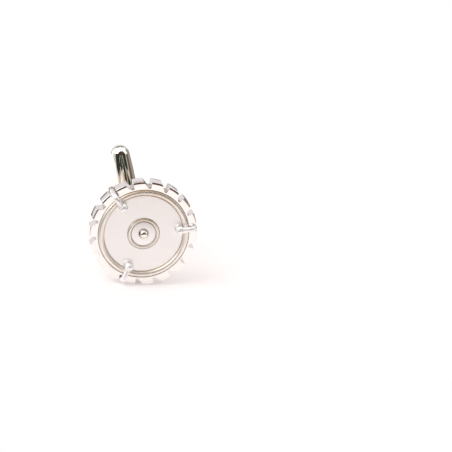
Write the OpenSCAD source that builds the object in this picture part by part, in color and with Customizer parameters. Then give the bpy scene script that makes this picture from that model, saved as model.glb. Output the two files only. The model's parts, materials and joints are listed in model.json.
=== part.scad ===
// Round cufflink: a ratchet-cut rim holds a satin disc under three claws,
// and a bullet-shaped toggle swivels in a two-armed frame at the end of the post.
// The face looks along -Y and the post runs along +Y. Sizes are in millimetres.
// It stands as it is set down on a table: on the two tooth corners beside the
// lowest notch, and on the lower tip of the toggle.

/* [Toothed rim] */
// Diameter over the teeth
rim_d = 18; // [15:0.5:26]
// Thickness, from back to front
rim_t = 2.4; // [1.9:0.1:4]
// Number of teeth, a whole number for each claw
teeth = 18; // [12:3:24]
// Depth of a notch
notch_depth = 1.05; // [0.8:0.05:1.3]
// Width of a notch at its mouth
notch_mouth = 1.34; // [1:0.02:1.6]
// Width of a notch at its root
notch_root = 0.42; // [0.2:0.02:0.8]
// Bevel along the front edge of the teeth
rim_bevel = 0.22; // [0.05:0.01:0.35]
// Flat land between the notch roots and the edge bead
rim_land = 0.3; // [0.2:0.05:0.8]
// Floor of the rim under the face disc
rim_floor = 1.25; // [0.8:0.05:1.6]

/* [Face] */
// Thickness of the face disc
disc_t = 1; // [0.8:0.05:1.4]
// Width of the edge bead
bead_w = 1; // [0.6:0.05:1.6]
// Depth of the edge bead's seat below the face
bead_seat = 0.45; // [0.3:0.05:0.7]
// Diameter of the inner bead along its crest
inner_bead_d = 4.72; // [3.6:0.1:7]
// Width of the inner bead
inner_bead_w = 0.58; // [0.4:0.02:0.8]
// Depth of the pocket for the inner bead and the boss
boss_seat = 0.3; // [0.2:0.05:0.5]
// Height of the boss above the face
boss_rise = 0.08; // [0.02:0.01:0.2]
// Diameter of the centre rivet's dome head
rivet_head_d = 1.6; // [1.2:0.1:2.4]
// Diameter of the centre rivet's shank
rivet_d = 0.9; // [0.6:0.05:1.1]

/* [Claws] */
// Diameter of the claw wire
claw_d = 0.92; // [0.7:0.02:1]
// From the tooth tips in to the middle of the claw wire
claw_inset = 0.5; // [0.45:0.01:0.6]
// Radius of the bend, along the middle of the wire
claw_bend = 0.8; // [0.6:0.05:1.1]
// Diameter of the ball at the end of a claw
claw_ball_d = 1.55; // [1.2:0.05:1.7]
// From the middle of the wire in to the middle of the ball
claw_reach = 2.5; // [2.4:0.1:3.6]

/* [Back plate] */
// Thickness of the back plate
plate_t = 0.7; // [0.5:0.05:1.2]
// From the notch roots in to the plate's edge
plate_inset = 0.15; // [0.05:0.05:0.5]
// Metal round a claw's hole in its ear
ear_wall = 0.1; // [0.05:0.01:0.12]

/* [Post] */
// Diameter of the foot
foot_d = 5.2; // [4:0.1:7]
// Thickness of the foot
foot_t = 0.8; // [0.5:0.1:1.5]
// Bevel round the foot
foot_bevel = 0.35; // [0.1:0.05:0.45]
// Depth of the foot's seat in the back plate
foot_seat = 0.2; // [0.1:0.05:0.3]
// Diameter of the stem
stem_d = 2.2; // [1.8:0.1:3]
// Length of the stem between the foot and the frame
stem_len = 5.4; // [3:0.2:9]
// Diameter of the stem's spigots
spigot_d = 1.2; // [0.8:0.1:1.5]
// Length of a spigot
spigot_len = 0.5; // [0.3:0.05:0.7]
// Thickness of a frame arm
arm_t = 0.85; // [0.6:0.05:1.2]
// Width of a frame arm
arm_w = 2.6; // [2.2:0.1:3.4]
// Height of the neck below the frame's round end
neck_h = 0.8; // [0.4:0.1:1.4]

/* [Toggle] */
// Length of the toggle
toggle_len = 18.35; // [16:0.05:24]
// Diameter of the toggle at its middle
toggle_d = 4; // [3.6:0.1:5]
// Radius of the toggle's round tips
tip_r = 1.6; // [1.3:0.05:1.7]
// Diameter of the hinge pin
pin_d = 1.1; // [0.8:0.05:1.2]
// Diameter of the hinge pin's heads
pin_head_d = 1.9; // [1.6:0.1:2.2]
// Height of a head
pin_head_h = 0.38; // [0.2:0.02:0.6]
// Depth of the flat under a washer
spot_depth = 0.25; // [0.15:0.01:0.4]
// Outer diameter of a spring washer
washer_d = 1.9; // [1.8:0.05:2.2]
// Sheet thickness of a spring washer
washer_t = 0.12; // [0.08:0.01:0.15]

/* [Clearances] */
// Between pieces that are set into each other
fit = 0.02; // [0.01:0.005:0.03]
// Radial running clearance on the hinge pin
run = 0.04; // [0.02:0.01:0.06]
// Between the toggle and the frame beside it
side_gap = 0.08; // [0.05:0.01:0.15]
// Between the toggle's tip and the frame's round end
tip_gap = 0.4; // [0.2:0.05:0.8]

/* [Hidden] */
$fn = 96;
claws = 3;
// Steps round a whole circle as wide as the toggle's flank
flank_steps = 720;
// How far a cut runs past the face it opens
over = 0.5;
// How far solder stands proud where a claw bends into its straight run, which both end inside it
weld = 0.02;

// Angles are seen from the front and counted from +X towards +Z. A notch is lowest.
pitch = 360 / teeth;
lowest = 270;

// The rim, from its back face at height 0 to its front face
rim_r = rim_d / 2;
root_r = rim_r - notch_depth;
recess_r = root_r - rim_land;
mouth_angle = 2 * asin(notch_mouth / 2 / rim_r);
root_angle = 2 * asin(notch_root / 2 / root_r);

// The face
face_z = rim_floor + disc_t;
disc_r = recess_r - fit;
bead_r = disc_r - bead_w / 2;
raised_r = disc_r - bead_w - fit;
bead_centre_z = face_z - (bead_w / 2 - bead_seat);
inner_bead_r = inner_bead_d / 2;
pocket_r = inner_bead_r + inner_bead_w / 2 + fit;
boss_r = inner_bead_r - inner_bead_w / 2 - fit;
inner_centre_z = face_z - boss_seat / 4;
boss_z = face_z + boss_rise;

// A claw leans in over the bead, just clear of it, down to its ball on the face
claw_r = claw_d / 2;
claw_place = rim_r - claw_inset;
ball_place = claw_place - claw_reach;
ball_z = face_z + fit + claw_ball_d / 2;
over_bead = [bead_r - ball_place, ball_z - bead_centre_z];
clear_of_bead = bead_w / 2 + fit + claw_r;
claw_slope = atan2(over_bead.x, over_bead.y) - acos(clear_of_bead / norm(over_bead));
bend_place = claw_place - claw_bend;
bend_z = ball_z + (bend_place - ball_place) * tan(claw_slope) - claw_bend / cos(claw_slope);
run_len = (bend_place - claw_bend * sin(claw_slope) - ball_place) / cos(claw_slope);

// The toggle's flank is one arc that meets the round tips without a corner
toggle_r = toggle_d / 2;
toggle_h = toggle_len / 2;
flank_r = (toggle_h * toggle_h - 2 * toggle_h * tip_r + toggle_r * toggle_r) / (toggle_r - tip_r) / 2;
tip_z = toggle_h - tip_r;
meet_z = tip_z * flank_r / (flank_r - tip_r);

// The toggle leans until its lower tip is level with the rim's lowest corners
corner_h = rim_r * cos(mouth_angle / 2);
lean = acos(min(1, (corner_h - tip_r) / tip_z));
axis_h = max(corner_h, tip_z * cos(lean) + tip_r);

// The post frame
pin_r = pin_d / 2;
gap_r = toggle_r + side_gap;
frame_r = gap_r + arm_t;
window_len = toggle_h + tip_gap;
spot_r = toggle_r - spot_depth;
washer_dish = gap_r - spot_r - washer_t - 2 * fit;

// Places along the post, behind the rim
foot_front = plate_t - foot_seat;
foot_back = plate_t + foot_t;
neck_front = foot_back + stem_len;
pin_place = neck_front + neck_h + frame_r - gap_r + window_len;

// The part's box is centred between the claws' front and the toggle's back
front_z = max(bend_z + claw_bend + claw_r, ball_z + claw_ball_d / 2, boss_z + rivet_head_d / 2);
centre_y = (pin_place + toggle_r - front_z) / 2;

// Turns the drawing so that its +Z looks to the front and its +Y points up
module faced() {
    translate([0, -centre_y, axis_h])
        rotate([90, 0, 0])
            children();
}

// Puts the pin's middle at the origin, with the pin along X, the toggle along Z and the front at -Y
module at_hinge() {
    translate([0, pin_place - centre_y, axis_h])
        rotate([0, -lean, 0])
            children();
}

// A point of the drawing at a radius and an angle
function polar(r, a) = [r * cos(a), r * sin(a)];

// A round bar along Z, between two heights
module bar(r, from, to) {
    translate([0, 0, from])
        cylinder(r = r, h = to - from);
}

// One notch: its clockwise flank is radial, and the other slants out to the mouth
module notch() {
    start = -mouth_angle / 2;
    root_end = polar(root_r, start + root_angle);
    mouth_end = polar(rim_r, mouth_angle / 2);
    beyond = mouth_end + (mouth_end - root_end) * (over / notch_depth);
    translate([0, 0, -over])
        linear_extrude(rim_t + 2 * over)
            polygon([polar(root_r, start), root_end, beyond, polar(rim_r + over, start)]);
}

// The upright and the bend of a claw, drawn along +X
module claw_upright(r, from) {
    translate([claw_place, 0, 0])
        bar(r, from, bend_z);
    translate([bend_place, 0, bend_z])
        rotate([90, 0, 0])
            rotate_extrude(angle = 90 + claw_slope - asin(weld / claw_bend))
                translate([claw_bend, 0])
                    circle(r);
}

// The straight run of a claw, turned in one piece with its ball and with the solder at the bend
module claw_run() {
    translate([ball_place, 0, ball_z])
        rotate([0, 90 - claw_slope, 0])
            rotate_extrude()
                intersection() {
                    union() {
                        circle(claw_ball_d / 2);
                        square([claw_r, run_len - weld]);
                        translate([0, run_len])
                            circle(claw_r + weld);
                    }
                    translate([0, -claw_ball_d])
                        square([claw_ball_d, 2 * claw_ball_d + run_len]);
                }
}

// Where the claws stand: the notch before the lowest one, then a third of a turn on
module at_claw(i) {
    rotate(lowest - pitch + i * 360 / claws)
        children();
}

module claw(i) {
    color("silver")
        faced()
            at_claw(i) {
                claw_upright(claw_r, -plate_t);
                claw_run();
            }
}

module toothed_rim() {
    color("gainsboro")
        faced()
            difference() {
                rotate_extrude()
                    polygon([
                        [0, 0], [rim_r, 0], [rim_r, rim_t - rim_bevel], [rim_r - rim_bevel, rim_t],
                        [recess_r, rim_t], [recess_r, rim_floor], [0, rim_floor]
                    ]);
                for (i = [0 : teeth - 1])
                    rotate(lowest + i * pitch)
                        notch();
                for (i = [0 : claws - 1])
                    at_claw(i)
                        claw_upright(claw_r + fit, -over);
                bar(rivet_d / 2 + fit, -over, rim_floor + over);
            }
}

module back_plate() {
    ear_r = claw_r + ear_wall;
    color("silver")
        faced()
            difference() {
                union() {
                    bar(root_r - plate_inset, -plate_t, 0);
                    for (i = [0 : claws - 1])
                        at_claw(i)
                            translate([0, 0, -plate_t])
                                linear_extrude(plate_t) {
                                    translate([0, -ear_r])
                                        square([claw_place, 2 * ear_r]);
                                    translate([claw_place, 0])
                                        circle(ear_r);
                                }
                }
                for (i = [0 : claws - 1])
                    at_claw(i)
                        translate([claw_place, 0, 0])
                            bar(claw_r + fit, -plate_t - over, over);
                bar(rivet_d / 2 + fit, -plate_t - over, over);
                bar(foot_d / 2 + fit, -plate_t - over, -foot_front);
            }
}

module face_disc() {
    color("linen")
        faced()
            difference() {
                rotate_extrude()
                    polygon([
                        [0, rim_floor], [disc_r, rim_floor], [disc_r, face_z - bead_seat],
                        [raised_r, face_z - bead_seat], [raised_r, face_z], [0, face_z]
                    ]);
                bar(pocket_r, face_z - boss_seat, face_z + over);
                bar(rivet_d / 2 + fit, rim_floor - over, face_z + over);
            }
}

// A half-round wire ring that stands on a seat
module wire_ring(r, w, seat_z, centre_z) {
    rotate_extrude() {
        translate([r - w / 2, seat_z])
            square([w, centre_z - seat_z]);
        translate([r, centre_z])
            intersection() {
                circle(w / 2);
                translate([-w, 0])
                    square([2 * w, w]);
            }
    }
}

module edge_bead() {
    color("tan")
        faced()
            wire_ring(bead_r, bead_w, face_z - bead_seat, bead_centre_z);
}

module inner_bead() {
    color("tan")
        faced()
            wire_ring(inner_bead_r, inner_bead_w, face_z - boss_seat, inner_centre_z);
}

module centre_boss() {
    color("seashell")
        faced()
            difference() {
                bar(boss_r, face_z - boss_seat, boss_z);
                bar(rivet_d / 2 + fit, face_z - boss_seat - over, boss_z + over);
            }
}

// The rivet's dome stands on the boss, and its shank ends on the floor of the foot's seat
module centre_rivet() {
    head_r = rivet_head_d / 2;
    color("silver")
        faced() {
            bar(rivet_d / 2, -foot_front, boss_z);
            intersection() {
                translate([0, 0, boss_z])
                    sphere(head_r);
                bar(head_r, boss_z, boss_z + head_r);
            }
        }
}

module post_foot() {
    foot_r = foot_d / 2;
    color("silver")
        faced()
            difference() {
                rotate_extrude()
                    polygon([
                        [0, -foot_front], [foot_r, -foot_front], [foot_r, foot_bevel - foot_back],
                        [foot_r - foot_bevel, -foot_back], [0, -foot_back]
                    ]);
                bar(spigot_d / 2 + fit, -foot_back - over, spigot_len + fit - foot_back);
            }
}

module post_stem() {
    color("silver")
        faced() {
            bar(stem_d / 2, -neck_front, -foot_back);
            bar(spigot_d / 2, -neck_front - spigot_len, spigot_len - foot_back);
        }
}

// The frame's outline, seen along the toggle: a long loop that is open at the back
module frame_outline(r) {
    translate([0, gap_r - window_len])
        circle(r);
    translate([-r, gap_r - window_len])
        square([2 * r, window_len - gap_r + arm_w / 2]);
}

// The neck that joins the frame's round end to the stem
module neck_outline() {
    neck_r = stem_d / 2;
    translate([-neck_r, neck_front - pin_place])
        square([2 * neck_r, neck_h + frame_r]);
}

// Cuts away what lies past the round ends of the arms
module arm_profile() {
    circle(arm_w / 2);
    translate([neck_front - pin_place, -arm_w / 2])
        square([pin_place - neck_front, arm_w]);
}

module post_frame() {
    color("silver")
        at_hinge()
            difference() {
                intersection() {
                    translate([0, 0, -arm_w / 2])
                        linear_extrude(arm_w)
                            difference() {
                                union() {
                                    frame_outline(frame_r);
                                    neck_outline();
                                }
                                frame_outline(gap_r);
                            }
                    translate([-frame_r, 0, 0])
                        rotate([90, 0, 90])
                            linear_extrude(2 * frame_r)
                                arm_profile();
                }
                rotate([0, 90, 0])
                    bar(pin_r + fit, -frame_r - over, frame_r + over);
                translate([0, neck_front - pin_place, 0])
                    rotate([-90, 0, 0])
                        bar(spigot_d / 2 + fit, -over, spigot_len + fit);
            }
}

// One low dome, standing on the plane at height 0
module rivet_dome(r, h) {
    ball_r = (r * r + h * h) / h / 2;
    intersection() {
        translate([0, 0, h - ball_r])
            sphere(ball_r);
        bar(r, 0, h);
    }
}

module hinge_pin() {
    color("silver")
        at_hinge()
            rotate([0, 90, 0]) {
                bar(pin_r, -frame_r, frame_r);
                for (side = [0, 180])
                    rotate([side, 0, 0])
                        translate([0, 0, frame_r])
                            rivet_dome(pin_head_d / 2, pin_head_h);
            }
}

// A dished washer that bears on the arm at its hole and on the toggle at its edge
module washer() {
    inner = pin_r + fit;
    outer = washer_d / 2;
    top = gap_r - fit;
    color("lightgray")
        rotate([0, 90, 0])
            rotate_extrude()
                polygon([
                    [inner, top], [inner, top - washer_t],
                    [outer, top - washer_dish - washer_t], [outer, top - washer_dish]
                ]);
}

module washer_right() {
    at_hinge()
        washer();
}

module washer_left() {
    at_hinge()
        rotate([0, 0, 180])
            washer();
}

// Half of the toggle's outline, to the right of its long axis
module toggle_outline() {
    intersection() {
        union() {
            intersection() {
                translate([toggle_r - flank_r, 0])
                    circle(flank_r, $fn = flank_steps);
                translate([0, -meet_z])
                    square([toggle_r, 2 * meet_z]);
            }
            for (side = [-1, 1])
                translate([0, side * tip_z])
                    circle(tip_r);
        }
        translate([0, -toggle_h])
            square([toggle_r, toggle_len]);
    }
}

module toggle_bar() {
    color("silver")
        at_hinge()
            difference() {
                rotate_extrude()
                    toggle_outline();
                rotate([0, 90, 0])
                    bar(pin_r + run, -toggle_d, toggle_d);
                for (side = [0, 180])
                    rotate([0, 0, side])
                        rotate([0, 90, 0])
                            bar(washer_d / 2 + side_gap, spot_r, toggle_d);
            }
}

toothed_rim();
back_plate();
claw(0);  // claw_1
claw(1);  // claw_2
claw(2);  // claw_3
face_disc();
edge_bead();
inner_bead();
centre_boss();
centre_rivet();
post_foot();
post_stem();
post_frame();
hinge_pin();
washer_left();
washer_right();
toggle_bar();
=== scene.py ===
# %% [markdown]
# A dress cufflink with a bullet toggle
#
# The cufflink is turned and milled silver. A wheel with ratchet-cut teeth carries a satin face,
# three wire claws hold the face down, and behind it a post ends in a frame in which a
# bullet-shaped bar swivels. Polished silver has hardly a colour of its own: what shows is what
# it mirrors. So this lesson spends its care on smooth surfaces and on the studio round the
# piece, and only then on the metal.
#
# The construction comes in as a fixed frame, one node for each piece. A piece that is rebuilt
# here takes its place and its outer sizes from that node, so it lands where the node is.

# %% Load the frame
import json
import math

import bmesh
import bpy
from mathutils import Matrix, Vector


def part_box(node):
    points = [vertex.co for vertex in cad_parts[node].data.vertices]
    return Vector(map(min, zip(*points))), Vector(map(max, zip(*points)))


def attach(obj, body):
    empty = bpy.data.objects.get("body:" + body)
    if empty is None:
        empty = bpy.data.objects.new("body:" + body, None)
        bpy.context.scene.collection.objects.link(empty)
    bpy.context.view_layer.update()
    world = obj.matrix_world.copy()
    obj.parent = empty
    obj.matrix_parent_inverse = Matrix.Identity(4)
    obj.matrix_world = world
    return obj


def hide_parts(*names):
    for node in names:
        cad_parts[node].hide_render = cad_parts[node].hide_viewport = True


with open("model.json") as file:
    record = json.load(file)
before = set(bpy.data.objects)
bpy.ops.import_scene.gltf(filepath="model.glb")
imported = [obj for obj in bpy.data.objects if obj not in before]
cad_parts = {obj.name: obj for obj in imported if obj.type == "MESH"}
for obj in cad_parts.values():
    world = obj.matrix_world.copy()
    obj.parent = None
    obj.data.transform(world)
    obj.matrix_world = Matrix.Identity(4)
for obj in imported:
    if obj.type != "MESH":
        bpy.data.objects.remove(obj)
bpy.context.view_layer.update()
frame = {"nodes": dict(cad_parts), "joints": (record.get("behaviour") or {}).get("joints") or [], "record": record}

print("nodes:", ", ".join(sorted(frame["nodes"])))

# %% [markdown]
# Two drawings place every piece. The face drawing looks at the cufflink from the front: its
# origin is the middle of the wheel's back, +X is right, +Y is up and +Z comes towards the
# viewer. The hinge drawing sits on the hinge pin, with X along the pin and Z along the toggle,
# and leans as the toggle leans. A piece is built in one of the two and its place then goes
# into its mesh, so that its object stays at the origin.

# %% Two drawings
MM = 0.001
TINY = MM / 1000         # lengths below this count as nothing
wheel_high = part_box("toothed_rim")[1]
face_low, face_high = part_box("face_disc")
axis_height = (face_low.z + face_high.z) / 2
swivel = frame["joints"][0]
lean = math.atan2(swivel["axis"][2], swivel["axis"][0])

face_drawing = Matrix.Translation((0, wheel_high.y, axis_height)) @ Matrix.Rotation(math.pi / 2, 4, "X")
hinge_drawing = Matrix.Translation(swivel["pos_m"]) @ Matrix.Rotation(-lean, 4, "Y")


def reach(node):
    """A node's largest radius, half of its width along X."""
    low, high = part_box(node)
    return (high.x - low.x) / 2


def ahead(y):
    """How far a place lies in front of the wheel's back."""
    return wheel_high.y - y


def front(node):
    """How far a node's foremost point lies in front of the wheel's back."""
    return ahead(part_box(node)[0].y)


def back(node):
    """The same for its hindmost point, which is negative behind the wheel."""
    return ahead(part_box(node)[1].y)


wheel_width = 2 * reach("toothed_rim") / MM
print(f"wheel {wheel_width:.2f} mm across, toggle leans {math.degrees(lean):.1f} degrees")

# %% [markdown]
# A node tree is easier to read as a sum than as boxes and wires. `Value` holds one socket,
# and arithmetic on it adds Math nodes. `Graph.node` makes every other kind of node: it takes
# the type, then what goes into the sockets, and the settings by their names. Both serve
# shaders and geometry alike.

# %% Node trees as expressions
class Value:
    """A number, vector or colour that a node tree works out."""

    def __init__(self, graph, socket):
        self.graph = graph
        self.socket = socket

    def maths(self, operation, *others):
        return self.graph.maths(operation, self, *others)

    def __add__(self, other):
        return self.maths("ADD", other)

    def __radd__(self, other):
        return self.graph.maths("ADD", other, self)

    def __sub__(self, other):
        return self.maths("SUBTRACT", other)

    def __rsub__(self, other):
        return self.graph.maths("SUBTRACT", other, self)

    def __mul__(self, other):
        return self.maths("MULTIPLY", other)

    def __rmul__(self, other):
        return self.graph.maths("MULTIPLY", other, self)

    def __truediv__(self, other):
        return self.maths("DIVIDE", other)

    def __rtruediv__(self, other):
        return self.graph.maths("DIVIDE", other, self)

    def __pow__(self, power):
        return self.maths("POWER", power)

    def __neg__(self):
        return self.maths("MULTIPLY", -1)

    def sine(self):
        return self.maths("SINE")

    def cosine(self):
        return self.maths("COSINE")

    def distance(self):
        return self.maths("ABSOLUTE")

    def step(self, start, end):
        """Rises softly from 0 at start to 1 at end, or falls if end is the smaller."""
        low, high = min(start, end), max(start, end)
        rise = self.graph.node("ShaderNodeMapRange", {
            "Value": self, "From Min": low, "From Max": high}, interpolation_type="SMOOTHSTEP")
        return rise if start < end else 1 - rise

    def band(self, low, high, soft):
        """1 between low and high, with soft edges."""
        return self.step(low - soft, low + soft) * self.step(high + soft, high - soft)


class Graph:
    """A node tree, and the one method that adds nodes to it."""

    def __init__(self, tree):
        self.tree = tree

    def node(self, kind, sockets=None, output=0, **settings):
        made = self.tree.nodes.new(kind)
        for name, setting in settings.items():
            setattr(made, name, setting)
        for key, value in (sockets or {}).items():
            socket = self.pick(made.inputs, key)
            for one in value if isinstance(value, list) else [value]:
                if isinstance(one, Value):
                    self.tree.links.new(one.socket, socket)
                else:
                    socket.default_value = one
        return Value(self, self.pick(made.outputs, output))

    def pick(self, sockets, key):
        if isinstance(key, int):
            return sockets[key]
        return next(socket for socket in sockets if socket.name == key and socket.enabled)

    def maths(self, operation, *numbers):
        return self.node("ShaderNodeMath", dict(enumerate(numbers)), operation=operation)

    def mix(self, share, first, second):
        """A colour between two colours."""
        a, b = (c if isinstance(c, Value) else (*c, 1) for c in (first, second))
        sockets = {"Factor": share, "A": a, "B": b}
        return self.node("ShaderNodeMix", sockets, "Result", data_type="RGBA")

    def vector(self, operation, *vectors, output=0, **named):
        sockets = {**dict(enumerate(vectors)), **named}
        return self.node("ShaderNodeVectorMath", sockets, output, operation=operation)

    def end(self, kind, sockets):
        """Adds a node that has nothing to give on."""
        made = self.tree.nodes.new(kind)
        for name, value in sockets.items():
            self.tree.links.new(value.socket, made.inputs[name])


known = [name.strip("_") for name, member in vars(Value).items() if callable(member)]
print("a value knows:", ", ".join(known))

# %% [markdown]
# Most of this cufflink comes off a lathe: the wheel, the face, the boss, the rivets, the stem
# and the bullet. Each is an outline turned round an axis. The outline has only the corners
# that the shape needs, and `soften` rounds each of them, because no polished edge is sharp and
# the round is what catches the light. A Screw modifier could turn the outline as well. A short
# loop is used here because it closes the poles cleanly.

# %% Turn an outline on the lathe
CORNER_STEPS = 4
LATHE_STEPS = 160


def soften(corners, loop=False):
    """Rounds the corners of an outline. A corner is (radius, height, rounding)."""
    outline = []
    for i, (x, y, rounding) in enumerate(corners):
        here = Vector((x, y))
        if not rounding or (not loop and i in (0, len(corners) - 1)):
            outline.append(here)
            continue
        before = (Vector(corners[i - 1][:2]) - here).normalized()
        after = (Vector(corners[(i + 1) % len(corners)][:2]) - here).normalized()
        half = before.angle(after) / 2
        centre = here + (before + after).normalized() * rounding / math.sin(half)
        start = here + before * rounding / math.tan(half) - centre
        turn = math.pi - 2 * half
        if before.x * after.y - before.y * after.x > 0:
            turn = -turn
        outline += [centre + Matrix.Rotation(turn * k / CORNER_STEPS, 2) @ start
                    for k in range(CORNER_STEPS + 1)]
    return outline


def put_in_scene(name, data):
    made = bpy.data.objects.new(name, data)
    bpy.context.scene.collection.objects.link(made)
    return made


def forge(name, body, place):
    """Makes an object of a bmesh, with its place in the mesh."""
    bmesh.ops.remove_doubles(body, verts=body.verts, dist=TINY / 5)
    bmesh.ops.recalc_face_normals(body, faces=body.faces)
    body.transform(place)
    mesh = bpy.data.meshes.new(name)
    body.to_mesh(mesh)
    body.free()
    return put_in_scene(name, mesh)


def lathe(name, outline, place, loop=False, steps=LATHE_STEPS):
    """Turns an outline of (radius, height) points round the drawing's Z axis."""
    body = bmesh.new()
    rings = []
    for radius, height in outline:
        around = steps if radius > TINY else 1
        angles = [2 * math.pi * k / steps for k in range(around)]
        rings.append([body.verts.new((radius * math.cos(a), radius * math.sin(a), height))
                      for a in angles])
    pairs = list(zip(rings, rings[1:]))
    if loop:
        pairs.append((rings[-1], rings[0]))
    for low, high in pairs:
        for k in range(steps):
            after = k + 1
            corners = [low[k % len(low)], low[after % len(low)],
                       high[after % len(high)], high[k % len(high)]]
            distinct = list(dict.fromkeys(corners))
            if len(distinct) > 2:
                body.faces.new(distinct)
    return forge(name, body, place)


print("a softened corner has", CORNER_STEPS + 1, "points, a turned ring", LATHE_STEPS)

# %% [markdown]
# Modifiers and node trees are recipes, and a finished piece is plain mesh. `settle` cooks the
# recipe and keeps the result. `even_out` then settles the shading: edges over the crease angle
# stay crisp, and the rest is smoothed with each face weighted by its area, so that a small
# round does not bend the reflection on the large flat beside it.

# %% Settle modifiers and shading
CREASE = math.radians(32)
FLAT = math.radians(0.3)


def settle(piece):
    """Turns what the modifiers make into the piece's own mesh."""
    bpy.context.view_layer.update()
    graph = bpy.context.evaluated_depsgraph_get()
    mesh = bpy.data.meshes.new_from_object(piece.evaluated_get(graph), depsgraph=graph)
    piece.modifiers.clear()
    piece.data = mesh
    mesh.name = piece.name


def even_out(piece):
    """Smooths the shading between the creases."""
    piece.data.shade_smooth()
    piece.data.set_sharp_from_angle(angle=CREASE)
    weighted = piece.modifiers.new("even shading", "WEIGHTED_NORMAL")
    weighted.keep_sharp = True
    settle(piece)


def merge_slivers(piece):
    """Joins faces that lie in one plane and drops doubled corners, which a bevel needs."""
    body = bmesh.new()
    body.from_mesh(piece.data)
    bmesh.ops.remove_doubles(body, verts=body.verts, dist=TINY)
    bmesh.ops.dissolve_limit(body, angle_limit=FLAT, verts=body.verts, edges=body.edges)
    body.to_mesh(piece.data)
    body.free()


def cut(piece, tool, operation="DIFFERENCE"):
    """Cuts one piece with another and throws the tool away."""
    boolean = piece.modifiers.new("cut", "BOOLEAN")
    boolean.operation = operation
    boolean.solver = "EXACT"
    boolean.object = tool
    settle(piece)
    merge_slivers(piece)
    bpy.data.objects.remove(tool)


def break_edges(piece, width, steps=3):
    """Rounds every crease, as a pass over the buffing wheel does."""
    bevel = piece.modifiers.new("broken edges", "BEVEL")
    bevel.width = width
    bevel.segments = steps
    bevel.limit_method = "ANGLE"
    bevel.angle_limit = CREASE
    bevel.use_clamp_overlap = False
    settle(piece)


def set_in(piece, node, finish=None):
    """Puts a finished piece in the place of its node."""
    if finish:
        piece.data.materials.append(finish)
    even_out(piece)
    bodies = frame["record"]["behaviour"]["bodies"]
    body = next(name for name, members in bodies.items() if node in members)
    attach(piece, body)
    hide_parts(node)
    print(f"{piece.name}: {len(piece.data.polygons)} faces, on {body}")


print(f"edges over {math.degrees(CREASE):.0f} degrees stay crisp")

# %% [markdown]
# Polished silver scatters almost nothing, so its picture is a mirror's with three faults: a
# slow waviness from the buffing wheel, hairlines from wear, and a thin warm tarnish that stays
# where the cloth does not reach. The waviness and the hairlines go into the bump and the
# roughness, and the tarnish tints the metal. On the wheel's notches, the two wires and the pip
# that warm tint also carries painted shade. A mask for the tarnish could be painted. Here each
# finish measures how near a point lies to the corners of its own piece, which needs no picture.

# %% Coordinates in millimetres
LINE_STRETCH = 40


def coordinates(graph):
    """Object coordinates, which are the part's own, in millimetres."""
    here = graph.node("ShaderNodeTexCoord", output="Object")
    return graph.vector("MULTIPLY", here, (1 / MM,) * 3)


def split(graph, vector):
    return [graph.node("ShaderNodeSeparateXYZ", {"Vector": vector}, output=axis)
            for axis in range(3)]


def on_face(graph, point):
    """x, y and z in the face drawing, in millimetres, from a piece's point."""
    origin = face_drawing.translation / MM
    back_turn = face_drawing.inverted().to_euler()
    shifted = graph.vector("SUBTRACT", point, tuple(origin))
    turned = graph.node("ShaderNodeMapping", {"Vector": shifted, "Rotation": back_turn})
    return split(graph, turned)


def from_middle(x, y):
    return (x * x + y * y) ** 0.5


def noise(graph, point, scale, detail=2.0, roughness=0.5):
    return graph.node("ShaderNodeTexNoise", {
        "Vector": point, "Scale": scale, "Detail": detail, "Roughness": roughness})


def clouds(graph, point, scale):
    """Soft patches, as a cloth leaves them."""
    return noise(graph, point, scale, detail=3.0, roughness=0.6)


def near(distance, place, width):
    """1 at a place and 0 beyond a width to either side of it, in millimetres."""
    return (distance - place).distance().step(width, 0)


def hairlines(graph, point, turn_by, density):
    """Fine scratches that run one way: noise drawn out along one axis."""
    drawn = graph.node("ShaderNodeMapping", {
        "Vector": point, "Rotation": turn_by, "Scale": (density, density / LINE_STRETCH, density)})
    return noise(graph, drawn, 1.0, detail=3.0, roughness=0.7).step(0.60, 0.74)


print("materials measure in millimetres")

# %% [markdown]
# Every silver surface here has one base, with its own numbers: how rough it is, how deep the
# tarnish and the painted shade sit and how much the hairlines show. Only what changes over the surface is linked.
# Whatever is the same everywhere is set on the shader's own socket.

# %% The silver base
CLEAN = (0.955, 0.925, 0.895)
WARM = (0.62, 0.50, 0.38)
FIRST_WIPE = ((0.3, 0.9, 0.5), 26)      # which way the cloth went, and how fine its lines are
SECOND_WIPE = ((1.1, 0.2, 2.0), 18)
WAVE_SCALE = 0.9
WAVE_HEIGHT = 0.9
LINE_HEIGHT = 0.08
LINE_ROUGHNESS = 0.05
TARNISH_ROUGHNESS = 0.12


def new_material(name):
    """A material, its graph, and the point that the graph is asked about."""
    material = bpy.data.materials.new(name)
    material.use_nodes = True
    material.node_tree.nodes.clear()
    graph = Graph(material.node_tree)
    return material, graph, coordinates(graph)


def close_metal(graph, colour, roughness, relief, strength, depth):
    """Ends a metal's tree. The relief runs from 0 to 1 and the bump makes it as deep as given."""
    bump = graph.node("ShaderNodeBump", {"Strength": strength, "Distance": depth, "Height": relief})
    shader = graph.node("ShaderNodeBsdfPrincipled", {
        "Base Color": colour, "Metallic": 1.0, "Roughness": roughness, "Normal": bump})
    graph.end("ShaderNodeOutputMaterial", {"Surface": shader})


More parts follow.
